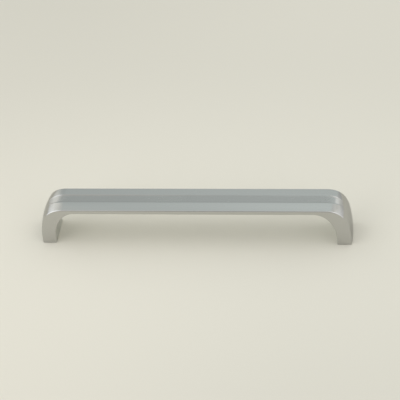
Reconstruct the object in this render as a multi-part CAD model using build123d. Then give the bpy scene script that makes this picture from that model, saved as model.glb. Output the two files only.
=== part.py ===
from build123d import *
from math import radians, tan
import os

os.makedirs("parts", exist_ok=True)

# Bow handle for a cabinet door or drawer, cast in one piece.
# Millimetres. +X runs along the bar, +Z points away from the door.
# The origin is on the door plane, midway between the two fixing holes.

# Overall form
hole_spacing = 192.0
foot_length = 10.0
width = 22.0
height = 29.0
bar_thickness = 4.0
length = hole_spacing + foot_length

# Each leg rises straight from its sole, then a curve carries it into the bar. Fullness is how long the curve
# holds to the line of the bar or of the leg, as a share of its reach or its drop.
outer_upright = 1.0
outer_reach = 17.0
outer_bar_fullness = 0.60
outer_leg_fullness = 0.77
inner_upright = 3.5
inner_reach = 14.5
inner_bar_fullness = 0.55
inner_leg_fullness = 0.55

# The outer face is crowned across its width
crown = 1.0
crown_stock = 0.5

# Hollow along the face: a flat floor between sloping sides, dying out round the corners
groove_width = 8.6
groove_depth = 0.45
groove_side_angle = 16.0
groove_floor_radius = 3.0
groove_run_out = 1.04

# Edges
face_edge_radius = 0.6
grip_edge_radius = 0.5
foot_edge_radius = 0.25

# Blind tapped holes in the feet, M4, drilled to the tapping size
tap_drill_diameter = 3.3
thread_depth = 12.0
drill_point_angle = 118.0
mouth_diameter = 4.4


def bow_curve(start, spring, reach, drop, bar_fullness, leg_fullness):
    """Bar line with a corner curve falling from each end, as edges from left to right."""
    bar_pull = (start + reach * bar_fullness, spring + drop)
    leg_pull = (start + reach, spring + drop * leg_fullness)
    corner = [(start, spring + drop), bar_pull, leg_pull, (start + reach, spring)]
    left = Bezier(*[(-x, z) for x, z in reversed(corner)])
    right = Bezier(*corner)
    return [left, Line(left @ 1, right @ 0), right]


def outer_curve(half_span, top, swell=1.0):
    """Bow curve of the face; swell carries its ends out past the legs."""
    start = half_span - outer_reach
    spring = outer_upright
    return bow_curve(start, spring, outer_reach * swell, top - spring, outer_bar_fullness, outer_leg_fullness)


def inner_curve(half_span, top):
    """Bow curve of the grip side."""
    start = half_span - inner_reach
    return bow_curve(start, inner_upright, inner_reach, top - inner_upright, inner_bar_fullness, inner_leg_fullness)


def arch(curve, toe=0.0):
    """Path up one leg from the toe level, over the bar and down the other leg, in the XZ plane."""
    half_span = (curve[-1] @ 1).X
    left_leg = Line((-half_span, toe), curve[0] @ 0)
    right_leg = Line(curve[-1] @ 1, (half_span, toe))
    return Plane.XZ * Wire([left_leg, *curve, right_leg])


def sweep_across(section, path):
    """Carries a section along a path: its X lies across the handle, its Y points out of the face."""
    return sweep(Plane(path @ 0, x_dir=(0, 1, 0), z_dir=path % 0) * section, path=path)


def crown_cutter():
    """Everything outside the crowned face, swept from foot to foot."""
    path = arch(outer_curve(length / 2, height), toe=-crown)
    half = width / 2 + crown
    fall = crown * (half / (width / 2)) ** 2
    rise = 4 * crown_stock
    face = ThreePointArc((-half, -fall), (0, 0), (half, -fall))
    walls = Polyline(face @ 1, (half, rise), (-half, rise), face @ 0)
    return sweep_across(make_face([face, *walls.edges()]), path)


def groove_cutter():
    """Flat-floored section along a line that leaves the metal part of the way down each corner."""
    curve = outer_curve(length / 2, height - groove_depth, swell=groove_run_out)
    slope = tan(radians(groove_side_angle))
    floor = groove_width / 2 - groove_depth / slope
    rise = 3 * groove_depth
    half = floor + rise / slope
    section = make_face(Polyline((-half, rise), (-floor, 0), (floor, 0), (half, rise), close=True))
    section = fillet(section.vertices().group_by(Axis.Y)[0], groove_floor_radius)
    return sweep_across(section, Plane.XZ * Wire(curve))


def tapped_hole():
    """Tap-drill hole with its drill point and countersunk mouth, rising from the door plane."""
    upward = (Align.CENTER, Align.CENTER, Align.MIN)
    radius = tap_drill_diameter / 2
    point = radius / tan(radians(drill_point_angle / 2))
    sink = mouth_diameter / 2 - radius
    drill = Cylinder(radius, thread_depth, align=upward)
    tip = Pos(0, 0, thread_depth) * Cone(radius, 0, point, align=upward)
    mouth = Cone(mouth_diameter / 2, radius, sink, align=upward)
    return drill + tip + mouth


def edges_along(solid, path):
    """Edges of the two flanks that run along a path drawn in the XZ plane."""
    flank_edges = solid.faces().filter_by(Axis.Y).edges()
    return flank_edges.filter_by(lambda e: path.distance_to(Vector(e.center().X, 0, e.center().Z)) < 0.01)


# Side outline of the bow with stock on its face, carried across the width
stock = arch(outer_curve(length / 2 + crown_stock, height + crown_stock))
inner = arch(inner_curve(length / 2 - foot_length, height - bar_thickness))
left_sole = Line(stock @ 0, inner @ 0)
right_sole = Line(inner @ 1, stock @ 1)
outline = make_face([*stock.edges(), *inner.edges(), left_sole, right_sole])
bow = extrude(outline, amount=width / 2, both=True)

# Crowned face, then its rounded edges, fuller on the face and smaller where the fingers pass
bow -= crown_cutter()
flank_edges = bow.faces().filter_by(Axis.Y).edges()
grip_edges = edges_along(bow, inner)
face_edges = flank_edges.filter_by(lambda e: e not in grip_edges and e.center().Z > foot_edge_radius)
bow = fillet(face_edges, face_edge_radius)
bow = fillet(edges_along(bow, inner), grip_edge_radius)

# Hollow between the two rims, then the softened soles
bow -= groove_cutter()
soles = bow.faces().filter_by(Axis.Z).filter_by(lambda f: f.center().Z < foot_edge_radius)
bow = fillet(soles.edges(), foot_edge_radius)

# Fixing holes
for side in (-1, 1):
    bow -= Pos(side * hole_spacing / 2, 0, 0) * tapped_hole()

export_step(bow, "parts/bow_handle.step")
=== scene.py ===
import logging
import math
from dataclasses import dataclass, field
from enum import Enum
from typing import Any

import bmesh
import bpy
from mathutils import Matrix, Vector


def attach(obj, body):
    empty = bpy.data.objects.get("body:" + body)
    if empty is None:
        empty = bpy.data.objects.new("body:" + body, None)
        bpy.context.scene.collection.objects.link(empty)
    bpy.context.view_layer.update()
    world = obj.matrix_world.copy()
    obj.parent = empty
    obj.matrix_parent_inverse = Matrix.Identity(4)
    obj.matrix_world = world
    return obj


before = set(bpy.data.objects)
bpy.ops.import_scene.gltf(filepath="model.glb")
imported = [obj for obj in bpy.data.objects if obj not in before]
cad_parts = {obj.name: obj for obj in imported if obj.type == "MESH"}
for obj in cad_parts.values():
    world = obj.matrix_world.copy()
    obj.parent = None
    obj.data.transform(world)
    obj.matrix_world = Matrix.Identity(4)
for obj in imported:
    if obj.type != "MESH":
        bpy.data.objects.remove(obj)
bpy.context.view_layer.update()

MM = 0.001
# From the middle of the handle to the axis of each tapped hole, in millimetres
HOLE_X = 96.0
# Elevation straight up, in degrees
ZENITH = 90.0
# The photograph's frame is square
PHOTO_WIDTH_PX = 400

Socket = bpy.types.NodeSocket
Tree = bpy.types.NodeTree
log = logging.getLogger("cabinet_handle")


class End(Enum):
    """The two ends of the handle, by the sign of X."""

    LEFT = -1
    RIGHT = 1


def linear(hex_colour: str) -> tuple[float, float, float, float]:
    """Turns an sRGB hex colour into linear RGBA.

    Args:
        hex_colour: Six hex digits with a leading hash.

    Returns:
        The linear red, green and blue with an alpha of one.
    """
    channels = [int(hex_colour[i:i + 2], 16) / 255 for i in (1, 3, 5)]
    values = [c / 12.92 if c <= 0.04045 else ((c + 0.055) / 1.055) ** 2.4 for c in channels]
    return (*values, 1.0)


def add_node(tree: Tree, kind: str, links: dict[Any, Socket] | None = None,
             sockets: dict[Any, Any] | None = None, **settings: Any) -> bpy.types.Node:
    """Adds one shader node with its settings, socket values and incoming links.

    Args:
        tree: Node tree that takes the node.
        kind: Blender's identifier of the node type.
        links: Input name or index to the socket that feeds it.
        sockets: Input name or index to its own value.
        **settings: Attributes of the node itself, set first, because some of them decide which sockets it has.

    Returns:
        The new node.
    """
    node = tree.nodes.new(kind)
    for name, value in settings.items():
        setattr(node, name, value)
    for key, value in (sockets or {}).items():
        node.inputs[key].default_value = value
    for key, source in (links or {}).items():
        tree.links.new(source, node.inputs[key])
    return node


def blank_material(name: str) -> tuple[bpy.types.Material, Tree]:
    """Makes an empty node material.

    Args:
        name: Name of the material.

    Returns:
        The material and its cleared node tree.
    """
    material = bpy.data.materials.new(name)
    material.use_nodes = True
    material.node_tree.nodes.clear()
    return material, material.node_tree


def place_shape(name: str, shape: bmesh.types.BMesh, finish: bpy.types.Material) -> bpy.types.Object:
    """Turns a finished bmesh into an object of the scene and frees the bmesh.

    Args:
        name: Name of the object and its mesh.
        shape: The modelled shape, in its final place.
        finish: Material that covers it.

    Returns:
        The new object, at the origin.
    """
    mesh = bpy.data.meshes.new(name)
    shape.to_mesh(mesh)
    shape.free()
    mesh.materials.append(finish)
    piece = bpy.data.objects.new(name, mesh)
    bpy.context.scene.collection.objects.link(piece)
    return piece


@dataclass(frozen=True)
class Surface:
    """How one part of a finish looks: its sRGB colour and its roughness."""

    colour: str
    roughness: float


@dataclass(frozen=True)
class ChromePlate:
    """Chrome plated over a die casting that was buffed on a wheel. Sizes are in millimetres.

    The wheel doesn't reach well into the hollow and the grip side, and not at all to the soles and the tapped
    holes, so those stay duller or greyer. The grip side is drawn lighter in colour all the same, as painted
    light on the shaded inner faces of the legs.
    """

    # Plating over buffed metal gives the eye a cool grey mirror of the room, softened by a slight ripple
    name: str = "chrome_plate"
    buffed: Surface = Surface("#C3C3C1", 0.1)
    hollow: Surface = Surface("#B4B4B2", 0.22)
    # Grip side: satin, and lighter than the buffed plating as painted light on the shaded inner faces
    grip_satin_and_painted_light: Surface = Surface("#D6D7D2", 0.5)
    sole: Surface = Surface("#B3B4B2", 0.42)
    hole: Surface = Surface("#A5A49F", 0.3)
    # Chromium reflects less at a glancing angle than other metals do
    glancing_tint: str = "#E0E0E0"
    # Buffing runs along the handle. Real wheel marks are some 0.05 mm apart, too fine to show, so they are
    # drawn ten times as coarse.
    mark_spacing: float = 0.5
    mark_length: float = 30.0
    ripple_size: float = 9.0
    ripple_height: float = 0.008
    smudge_size: float = 18.0
    # Wheel marks and smudges, multiplied, turn the roughness down to the first share or up to the second
    dulling_range: tuple[float, float] = (0.1, 0.5)
    dulling_shares: tuple[float, float] = (0.75, 1.5)
    # Floor of the hollow, whose dull look fades out towards its sides and its ends
    hollow_half_width: float = 3.8
    hollow_fade: float = 0.9
    hollow_half_length: float = 91.5
    hollow_end_fade: float = 7.0
    hollow_lowest: float = 26.0
    # The grip side is a quarter ellipse at each end, from the leg's inner face to the bar's underside. Its satin
    # look and its painted light fade out between two slightly larger ellipses.
    grip_start: float = 76.5
    grip_reach: float = 14.5
    grip_spring: float = 3.5
    grip_drop: float = 21.5
    grip_fade: tuple[float, float] = (1.02, 1.005)
    sole_top: float = 0.06
    hole_radius: float = 2.3
    hole_top: float = 14.0

    def material(self) -> bpy.types.Material:
        """Builds the node material.

        Returns:
            The finish of the casting and its threads.
        """
        material, tree = blank_material(self.name)
        place = add_node(tree, "ShaderNodeTexCoord")
        # Millimetres from here on
        where = add_node(tree, "ShaderNodeVectorMath", {0: place.outputs["Object"]}, {"Scale": 1 / MM},
                         operation="SCALE").outputs[0]
        in_hollow, on_grip_satin_and_painted_light, on_sole, in_hole = self.masks(tree, where)
        marks, ripple, smudges = self.patterns(tree, where)
        colour = add_node(tree, "ShaderNodeMix", {"Factor": in_hollow},
                          {"A": linear(self.buffed.colour), "B": linear(self.hollow.colour)}, data_type="RGBA")
        rough = add_node(tree, "ShaderNodeMix", {"Factor": in_hollow},
                         {"A": self.buffed.roughness, "B": self.hollow.roughness})
        # The grip's lighter colour is painted light on the shaded inner faces of the legs
        for mask, surface in ((on_grip_satin_and_painted_light, self.grip_satin_and_painted_light), (on_sole, self.sole), (in_hole, self.hole)):
            colour = add_node(tree, "ShaderNodeMix", {"Factor": mask, "A": colour.outputs["Result"]},
                              {"B": linear(surface.colour)}, data_type="RGBA")
            rough = add_node(tree, "ShaderNodeMix", {"Factor": mask, "A": rough.outputs["Result"]},
                             {"B": surface.roughness})
        dulling = add_node(tree, "ShaderNodeMath", {0: marks, 1: smudges}, operation="MULTIPLY")
        dulling = add_node(tree, "ShaderNodeMapRange", {"Value": dulling.outputs[0]},
                           {"From Min": self.dulling_range[0], "From Max": self.dulling_range[1],
                            "To Min": self.dulling_shares[0], "To Max": self.dulling_shares[1]})
        rough = add_node(tree, "ShaderNodeMath", {0: rough.outputs["Result"], 1: dulling.outputs["Result"]},
                         operation="MULTIPLY")
        bump = add_node(tree, "ShaderNodeBump", {"Height": ripple},
                        {"Strength": 1.0, "Distance": self.ripple_height * MM})
        shader = add_node(tree, "ShaderNodeBsdfPrincipled",
                          {"Base Color": colour.outputs["Result"], "Roughness": rough.outputs[0],
                           "Normal": bump.outputs["Normal"]},
                          {"Metallic": 1.0, "Specular Tint": linear(self.glancing_tint)})
        add_node(tree, "ShaderNodeOutputMaterial", {"Surface": shader.outputs["BSDF"]})
        return material

    def masks(self, tree: Tree, where: Socket) -> tuple[Socket, Socket, Socket, Socket]:
        """Marks the places that the buffing wheel misses; the grip side's mask also carries painted light.

        Args:
            tree: Node tree of the material.
            where: Position on the handle in millimetres.

        Returns:
            Zero to one sockets for the hollow's floor, the grip side, the soles and the tapped holes.
        """
        axes = add_node(tree, "ShaderNodeSeparateXYZ", {0: where}).outputs
        aside = add_node(tree, "ShaderNodeMath", {0: axes["X"]}, operation="ABSOLUTE").outputs[0]
        across = add_node(tree, "ShaderNodeMath", {0: axes["Y"]}, operation="ABSOLUTE").outputs[0]
        height = axes["Z"]
        on_sole = add_node(tree, "ShaderNodeMath", {0: height}, {1: self.sole_top}, operation="LESS_THAN")
        return (self.hollow_mask(tree, aside, across, height), self.grip_satin_and_painted_light_mask(tree, aside, height),
                on_sole.outputs[0], self.hole_mask(tree, aside, across, height))

    def hollow_mask(self, tree: Tree, aside: Socket, across: Socket, height: Socket) -> Socket:
        """Marks the floor of the hollow.

        Args:
            tree: Node tree of the material.
            aside: Distance along the bar from its middle.
            across: Distance across the bar from its middle.
            height: Height above the soles.

        Returns:
            One on the floor of the hollow, fading to zero around it.
        """
        inside = add_node(tree, "ShaderNodeMapRange", {"Value": across},
                          {"From Min": self.hollow_half_width,
                           "From Max": self.hollow_half_width - self.hollow_fade},
                          interpolation_type="SMOOTHSTEP")
        along = add_node(tree, "ShaderNodeMapRange", {"Value": aside},
                         {"From Min": self.hollow_half_length,
                          "From Max": self.hollow_half_length - self.hollow_end_fade},
                         interpolation_type="SMOOTHSTEP")
        above = add_node(tree, "ShaderNodeMath", {0: height}, {1: self.hollow_lowest}, operation="GREATER_THAN")
        floor = add_node(tree, "ShaderNodeMath", {0: inside.outputs[0], 1: along.outputs[0]},
                         operation="MULTIPLY")
        return add_node(tree, "ShaderNodeMath", {0: floor.outputs[0], 1: above.outputs[0]},
                        operation="MULTIPLY").outputs[0]

    def grip_satin_and_painted_light_mask(self, tree: Tree, aside: Socket, height: Socket) -> Socket:
        """Marks the side that the fingers hold, which is drawn satin and, as painted light, lighter in colour.

        Args:
            tree: Node tree of the material.
            aside: Distance along the bar from its middle.
            height: Height above the soles.

        Returns:
            One on the grip side, zero elsewhere.
        """
        outward = add_node(tree, "ShaderNodeMapRange", {"Value": aside},
                           {"From Min": self.grip_start, "From Max": self.grip_start + self.grip_reach},
                           clamp=False)
        upward = add_node(tree, "ShaderNodeMapRange", {"Value": height},
                          {"From Min": self.grip_spring, "From Max": self.grip_spring + self.grip_drop},
                          clamp=False)
        corner = add_node(tree, "ShaderNodeCombineXYZ", {"X": outward.outputs[0], "Y": upward.outputs[0]})
        corner = add_node(tree, "ShaderNodeVectorMath", {0: corner.outputs[0]}, {1: (0, 0, 0)},
                          operation="MAXIMUM")
        ellipse = add_node(tree, "ShaderNodeVectorMath", {0: corner.outputs[0]}, operation="LENGTH")
        return add_node(tree, "ShaderNodeMapRange", {"Value": ellipse.outputs["Value"]},
                        {"From Min": self.grip_fade[0], "From Max": self.grip_fade[1]},
                        interpolation_type="SMOOTHSTEP").outputs[0]

    def hole_mask(self, tree: Tree, aside: Socket, across: Socket, height: Socket) -> Socket:
        """Marks the tapped holes.

        Args:
            tree: Node tree of the material.
            aside: Distance along the bar from its middle.
            across: Distance across the bar from its middle.
            height: Height above the soles.

        Returns:
            One in the holes and on their threads, zero elsewhere.
        """
        off = add_node(tree, "ShaderNodeMath", {0: aside}, {1: HOLE_X}, operation="SUBTRACT")
        plan = add_node(tree, "ShaderNodeCombineXYZ", {"X": off.outputs[0], "Y": across})
        radius = add_node(tree, "ShaderNodeVectorMath", {0: plan.outputs[0]}, operation="LENGTH")
        near = add_node(tree, "ShaderNodeMath", {0: radius.outputs["Value"]}, {1: self.hole_radius},
                        operation="LESS_THAN")
        low = add_node(tree, "ShaderNodeMath", {0: height}, {1: self.hole_top}, operation="LESS_THAN")
        return add_node(tree, "ShaderNodeMath", {0: near.outputs[0], 1: low.outputs[0]},
                        operation="MULTIPLY").outputs[0]

    def patterns(self, tree: Tree, where: Socket) -> tuple[Socket, Socket, Socket]:
        """Draws the wheel marks, the ripple under the plating and the smudges of handling.

        Args:
            tree: Node tree of the material.
            where: Position on the handle in millimetres.

        Returns:
            Zero to one sockets for the marks, the ripple and the smudges.
        """
        fine = 1 / self.mark_spacing
        drawn = add_node(tree, "ShaderNodeMapping", {"Vector": where},
                         {"Scale": (1 / self.mark_length, fine, fine)})
        marks = add_node(tree, "ShaderNodeTexNoise", {"Vector": drawn.outputs[0]}, {"Scale": 1.0, "Detail": 2.0})
        ripple = add_node(tree, "ShaderNodeTexNoise", {"Vector": where},
                          {"Scale": 1 / self.ripple_size, "Detail": 1.0})
        smudges = add_node(tree, "ShaderNodeTexNoise", {"Vector": where},
                           {"Scale": 1 / self.smudge_size, "Detail": 3.0, "Distortion": 0.6})
        return marks.outputs[0], ripple.outputs[0], smudges.outputs[0]


@dataclass(frozen=True)
class BackdropPaper:
    """Dyed backdrop paper with painted light on it, palest in a painted pool around the handle and at the front
    left. Sizes are in millimetres.
    """

    # Uncoated dyed paper gives the eye an even matt beige with a faint fibre and no gloss
    name: str = "backdrop_paper"
    # Painted light falloff: the paper is lightest at the front left and darker to the back and the right
    near_left: str = "#E0DCCF"
    far_left: str = "#D2CFC3"
    right: str = "#D7D4C8"
    near_to_far: tuple[float, float] = (-160.0, 260.0)
    left_to_right: tuple[float, float] = (-140.0, 100.0)
    # The painted pool of light is drawn out along the handle: a step along X counts for less than one along Y
    painted_pool_stretch: tuple[float, float, float] = (0.45, 1.0, 1.0)
    # The painted pool is full within the first radius and fades to the share of it by the second
    painted_pool_radius: float = 30.0
    painted_pool_fade_radius: float = 200.0
    painted_pool_fade_share: float = 0.93
    # Paper fibres are some 0.03 mm thick, too fine to show, so they are drawn as clumps
    fibre_clump: float = 0.8
    fibre_contrast: float = 0.025
    roughness: float = 0.95
    gloss: float = 0.05

    def material(self) -> bpy.types.Material:
        """Builds the node material.

        Returns:
            The finish of the floor.
        """
        material, tree = blank_material(self.name)
        place = add_node(tree, "ShaderNodeTexCoord").outputs["Object"]
        axes = add_node(tree, "ShaderNodeSeparateXYZ", {0: place}).outputs
        # Painted light falloff: lighter at the front left, darker to the back and the right
        depth = add_node(tree, "ShaderNodeMapRange", {"Value": axes["Y"]},
                         {"From Min": self.near_to_far[0] * MM, "From Max": self.near_to_far[1] * MM})
        left = add_node(tree, "ShaderNodeMix", {"Factor": depth.outputs[0]},
                        {"A": linear(self.near_left), "B": linear(self.far_left)}, data_type="RGBA")
        across = add_node(tree, "ShaderNodeMapRange", {"Value": axes["X"]},
                          {"From Min": self.left_to_right[0] * MM, "From Max": self.left_to_right[1] * MM},
                          interpolation_type="SMOOTHSTEP")
        painted_light_tone = add_node(tree, "ShaderNodeMix", {"Factor": across.outputs[0], "A": left.outputs["Result"]},
                        {"B": linear(self.right)}, data_type="RGBA")
        # Painted pool of light, palest around the handle
        painted_pool_place = add_node(tree, "ShaderNodeVectorMath", {0: place}, {1: self.painted_pool_stretch}, operation="MULTIPLY")
        reach = add_node(tree, "ShaderNodeVectorMath", {0: painted_pool_place.outputs[0]}, operation="LENGTH")
        painted_pool = add_node(tree, "ShaderNodeMapRange", {"Value": reach.outputs["Value"]},
                        {"From Min": self.painted_pool_radius * MM, "From Max": self.painted_pool_fade_radius * MM,
                         "To Min": 1.0, "To Max": self.painted_pool_fade_share},
                        interpolation_type="SMOOTHSTEP")
        fibres = add_node(tree, "ShaderNodeTexNoise", {"Vector": place},
                          {"Scale": 1 / (self.fibre_clump * MM), "Detail": 2.0})
        fibres_and_painted_pool = add_node(tree, "ShaderNodeMapRange", {"Value": fibres.outputs[0]},
                         {"To Min": 1 - self.fibre_contrast, "To Max": 1 + self.fibre_contrast})
        # The fibre's grain, multiplied by the painted pool of light
        fibres_and_painted_pool = add_node(tree, "ShaderNodeMath", {0: fibres_and_painted_pool.outputs[0], 1: painted_pool.outputs[0]}, operation="MULTIPLY")
        colour = add_node(tree, "ShaderNodeVectorMath",
                          {0: painted_light_tone.outputs["Result"], "Scale": fibres_and_painted_pool.outputs[0]}, operation="SCALE")
        shader = add_node(tree, "ShaderNodeBsdfPrincipled", {"Base Color": colour.outputs[0]},
                          {"Roughness": self.roughness, "Specular IOR Level": self.gloss})
        add_node(tree, "ShaderNodeOutputMaterial", {"Surface": shader.outputs["BSDF"]})
        return material


@dataclass
class TappedThread:
    """Coarse metric thread in a foot's blind hole, as a ridge up the drilled wall. Sizes are in millimetres."""

    end: End
    wall_radius: float = 1.65
    ridge_height: float = 0.16
    ridge_base: float = 0.56
    ridge_crest: float = 0.12
    sunk: float = 0.02
    pitch: float = 0.7
    lowest: float = 0.95
    turns: int = 14
    steps_per_turn: int = 24

    def build(self, finish: bpy.types.Material) -> bpy.types.Object:
        """Winds the ridge up the hole.

        Args:
            finish: Material of the plated casting.

        Returns:
            The thread's object, riding on the handle.
        """
        outer = self.wall_radius + self.sunk
        inner = self.wall_radius - self.ridge_height
        base, crest = self.ridge_base / 2, self.ridge_crest / 2
        centre = Vector((self.end.value * HOLE_X, 0, 0)) * MM
        shape = bmesh.new()
        section = ((outer, -base), (outer, base), (inner, crest), (inner, -crest))
        corners = [shape.verts.new(centre + Vector((r, 0, self.lowest + z)) * MM) for r, z in section]
        start = shape.faces.new(corners)
        rise = Vector((0, 0, self.pitch / self.steps_per_turn * MM))
        bmesh.ops.spin(shape, geom=[start, *start.edges, *start.verts], cent=centre, axis=(0, 0, 1), dvec=rise,
                       angle=math.tau * self.turns, steps=self.turns * self.steps_per_turn)
        # The two ends of the ridge
        bmesh.ops.holes_fill(shape, edges=shape.edges, sides=4)
        bmesh.ops.recalc_face_normals(shape, faces=shape.faces)
        thread = place_shape(f"thread_{self.end.name.lower()}", shape, finish)
        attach(thread, "root")
        log.info("built %s", thread.name)
        return thread


@dataclass
class BowHandle:
    """The cast handle with the threads in its feet."""

    node: str = "bow_handle"
    plate: ChromePlate = field(default_factory=ChromePlate)
    threads: tuple[TappedThread, ...] = (TappedThread(End.LEFT), TappedThread(End.RIGHT))

    def build(self) -> None:
        """Dresses the casting in its plating and winds the threads in its feet."""
        finish = self.plate.material()
        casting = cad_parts[self.node]
        casting.data.materials.clear()
        casting.data.materials.append(finish)
        log.info("dressed %s", self.node)
        for thread in self.threads:
            thread.build(finish)


@dataclass(frozen=True)
class TentWall:
    """One wall of the light tent: its tint, and its brightness from low to high.

    Each stop is an elevation in degrees with the brightness there, up to where the roof begins. The wall takes
    over from the one before it between the two azimuths, in degrees from behind the handle, right being
    positive. A wall on both sides takes over to the left and to the right alike.
    """

    tint: str
    stops: tuple[tuple[float, float], ...]
    takes_over: tuple[float, float] | None = None
    both_sides: bool = False


@dataclass
class LightTent:
    """White cloth tent lit through its roof and its left and right sides, with the camera in its open front."""

    walls: tuple[TentWall, ...] = (
        # Back, then the shaded corner between it and the left side
        TentWall("#F6FEFC", ((0, 0.70), (14, 0.77), (28, 0.76), (42, 0.79), (55, 0.87), (70, 0.74))),
        TentWall("#F6FEFC", ((0, 0.60), (14, 0.59), (28, 0.65), (42, 0.67), (55, 0.74), (70, 0.62)), (-3, -20)),
        # Left side: plain cloth, brighter cloth towards the lamp, then the cloth in front of the lamp
        TentWall("#FAFAF4", ((0, 0.85), (8, 0.97), (18, 1.11), (30, 1.18), (42, 1.06), (54, 0.86), (66, 0.64)),
                 (-20, -36)),
        TentWall("#F9FBFF", ((0, 1.08), (10, 1.25), (22, 1.45), (34, 1.60), (46, 1.74), (58, 1.76), (72, 1.34)),
                 (-42, -72)),
        TentWall("#FFFFFF", ((0, 1.86), (20, 1.88), (32, 1.77), (45, 1.58), (58, 1.40), (70, 1.19)), (-98, -135)),
        # Right side: a bright fold, then plain, brighter and lamplit cloth as on the left
        TentWall("#F9FBF8", ((0, 0.62), (10, 0.64), (17, 0.74), (24, 1.05), (31, 1.16), (39, 0.88), (50, 0.81),
                             (68, 0.68)), (23, 29)),
        TentWall("#FAFAF4", ((0, 0.64), (8, 0.66), (15, 0.80), (24, 0.92), (34, 0.86), (44, 0.92), (57, 0.78)),
                 (33, 40)),
        TentWall("#FFFFFF", ((0, 0.85), (8, 0.89), (18, 0.98), (29, 1.12), (41, 1.44), (54, 1.74), (66, 1.76),
                             (76, 1.28)), (42, 62)),
        TentWall("#FFFFFF", ((0, 1.26), (20, 1.28), (32, 1.28), (45, 1.34), (58, 1.37), (72, 1.18)), (98, 130)),
        # Open front, dim behind the camera
        TentWall("#FBF9F4", ((0, 0.42), (30, 0.38), (60, 0.42)), (146, 160), both_sides=True),
    )
    # All walls meet in the roof, straight above
    roof: float = 1.45
    # What the camera sees past the edge of the floor
    seen: str = "#DDDACD"

    def build(self) -> None:
        """Builds the tent as the world around the handle, plain to the camera itself."""
        world = bpy.data.worlds.new("light_tent")
        bpy.context.scene.world = world
        world.use_nodes = True
        tree = world.node_tree
        tree.nodes.clear()
        place = add_node(tree, "ShaderNodeTexCoord")
        axes = add_node(tree, "ShaderNodeSeparateXYZ", {0: place.outputs["Generated"]}).outputs
        height = add_node(tree, "ShaderNodeMath", {0: axes["Z"]}, operation="ARCSINE")
        around = add_node(tree, "ShaderNodeMath", {0: axes["X"], 1: axes["Y"]}, operation="ARCTAN2")
        aside = add_node(tree, "ShaderNodeMath", {0: around.outputs[0]}, operation="ABSOLUTE")
        light = self.cloth(tree, self.walls[0], height.outputs[0])
        for wall in self.walls[1:]:
            start, end = (math.radians(v) for v in wall.takes_over)
            turn = aside if wall.both_sides else around
            share = add_node(tree, "ShaderNodeMapRange", {"Value": turn.outputs[0]},
                             {"From Min": start, "From Max": end}, interpolation_type="SMOOTHSTEP")
            cloth = self.cloth(tree, wall, height.outputs[0])
            light = add_node(tree, "ShaderNodeMix", {"Factor": share.outputs[0], "A": light, "B": cloth},
                             data_type="RGBA").outputs["Result"]
        tent = add_node(tree, "ShaderNodeBackground", {"Color": light}, {"Strength": 1.0})
        plain = add_node(tree, "ShaderNodeBackground", sockets={"Color": linear(self.seen), "Strength": 1.0})
        path = add_node(tree, "ShaderNodeLightPath")
        room = add_node(tree, "ShaderNodeMixShader",
                        {0: path.outputs["Is Camera Ray"], 1: tent.outputs[0], 2: plain.outputs[0]})
        add_node(tree, "ShaderNodeOutputWorld", {"Surface": room.outputs[0]})
        log.info("lit the tent")

    def cloth(self, tree: Tree, wall: TentWall, height: Socket) -> Socket:
        """Grades one wall from low to high and on into the roof.

        Args:
            tree: Node tree of the world.
            wall: The wall's tint and brightness.
            height: Elevation of the looked-at direction, in radians.

        Returns:
            The wall's colour at that elevation.
        """
        share = add_node(tree, "ShaderNodeMapRange", {"Value": height},
                         {"From Min": 0.0, "From Max": math.radians(ZENITH)})
        ramp = add_node(tree, "ShaderNodeValToRGB", {0: share.outputs[0]})
        ramp.color_ramp.interpolation = "EASE"
        elements = ramp.color_ramp.elements
        stops = (*wall.stops, (ZENITH, self.roof))
        # A new ramp has two stops; the others are added anywhere and put in their places below
        while len(elements) < len(stops):
            elements.new(0.5)
        tint = linear(wall.tint)
        for element, (degrees, brightness) in zip(elements, stops):
            element.position = degrees / ZENITH
            element.color = (*(brightness * channel for channel in tint[:3]), 1.0)
        return ramp.outputs["Color"]


@dataclass
class Studio:
    """Pale floor, light tent and camera. The camera's angles are in degrees, from the point that it looks at."""

    floor_size: float = 6000.0 * MM
    floor_gap: float = 0.02 * MM
    azimuth: float = 9.805
    elevation: float = 40.9932
    roll: float = -6.2976
    distance: float = 910.994 * MM
    target: tuple[float, float, float] = (1.8164 * MM, 14.004 * MM, 15.5223 * MM)
    focal_px: float = 1402.06
    sensor_width: float = 36.0
    paper: BackdropPaper = field(default_factory=BackdropPaper)
    tent: LightTent = field(default_factory=LightTent)

    def build(self) -> None:
        """Lays the floor, lights it and places the camera."""
        self.build_floor()
        self.tent.build()
        self.build_camera()

    def build_floor(self) -> None:
        """Lays the paper a hair under the soles, so that the two planes don't coincide."""
        shape = bmesh.new()
        bmesh.ops.create_grid(shape, x_segments=2, y_segments=2, size=self.floor_size / 2,
                              matrix=Matrix.Translation((0, 0, -self.floor_gap)))
        floor = place_shape("floor", shape, self.paper.material())
        log.info("laid the floor")

    def build_camera(self) -> None:
        """Places the camera at the photograph's viewing angle."""
        a, e, r = (math.radians(v) for v in (self.azimuth, self.elevation, self.roll))
        right = Vector((math.cos(a), math.sin(a), 0))
        forward = Vector((-math.sin(a) * math.cos(e), math.cos(a) * math.cos(e), -math.sin(e)))
        up = right.cross(forward)
        across = right * math.cos(r) + up * math.sin(r)
        along = up * math.cos(r) - right * math.sin(r)
        data = bpy.data.cameras.new("camera")
        data.sensor_width = self.sensor_width
        data.lens = self.focal_px / PHOTO_WIDTH_PX * self.sensor_width
        camera = bpy.data.objects.new("camera", data)
        turn = Matrix((across, along, -forward)).transposed()
        camera.matrix_world = Matrix.Translation(Vector(self.target) - forward * self.distance) @ turn.to_4x4()
        bpy.context.scene.collection.objects.link(camera)
        bpy.context.scene.camera = camera
        log.info("placed the camera")


def main() -> None:
    """Builds the handle and its studio in order."""
    logging.basicConfig(level=logging.INFO, format="%(name)s: %(message)s")
    bpy.context.scene.view_settings.view_transform = "Standard"
    BowHandle().build()
    Studio().build()


if __name__ == "__main__":
    main()
